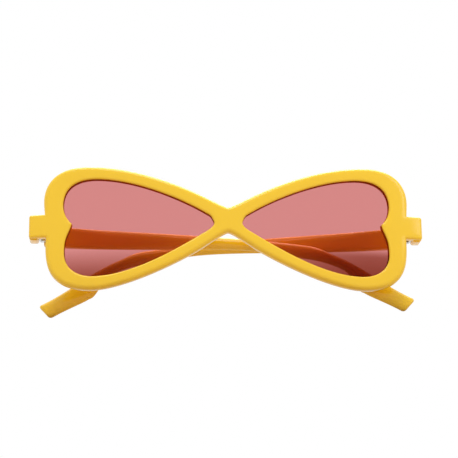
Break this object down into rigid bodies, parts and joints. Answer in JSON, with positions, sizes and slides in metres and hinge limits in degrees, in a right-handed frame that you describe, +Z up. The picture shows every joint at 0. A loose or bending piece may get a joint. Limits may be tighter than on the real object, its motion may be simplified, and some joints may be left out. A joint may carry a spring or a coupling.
{
  "type": "sunglasses",
  "caption": "Heart shaped sunglasses with a bowed glossy front, tinted lenses and folding temples on screwed hinges.",
  "frame": {"origin": "middle of the bridge's underside, where the glasses sit on the nose", "axes": "+Z up as worn, the face looks along -Y, +X towards the wearer's left; at rest the temples are folded behind the front"},
  "size_m": [0.148, 0.0303, 0.0528],
  "materials": {
    "front_plastic": "polished warm yellow injection-moulded plastic",
    "temple_plastic": "polished warm yellow injection-moulded plastic",
    "lens_tint": "clear dusty pink tinted polycarbonate, polished",
    "hinge_metal": "plain nickel silver, lightly brushed",
    "screw_metal": "bright plated steel"
  },
  "bodies": {
    "front": {"front_frame": "front_plastic", "right_lens": "lens_tint", "left_lens": "lens_tint", "right_front_leaf": "hinge_metal", "left_front_leaf": "hinge_metal", "right_hinge_screw": "screw_metal", "left_hinge_screw": "screw_metal", "right_front_leaf_screws": "screw_metal", "left_front_leaf_screws": "screw_metal"},
    "right_temple": {"right_temple": "temple_plastic", "right_temple_leaf": "hinge_metal", "right_temple_leaf_screws": "screw_metal"},
    "left_temple": {"left_temple": "temple_plastic", "left_temple_leaf": "hinge_metal", "left_temple_leaf_screws": "screw_metal"}
  },
  "joints": [
    {"name": "right_temple_hinge", "type": "hinge", "parent": "front", "child": "right_temple", "pos_m": [-0.06888, 0.0147, 0.00346], "axis": [0, 0, 1], "range_deg": [0, 91.3]},
    {"name": "left_temple_hinge", "type": "hinge", "parent": "front", "child": "left_temple", "pos_m": [0.06888, 0.0147, 0.00346], "axis": [0, 0, -1], "range_deg": [0, 86.2]}
  ]
}
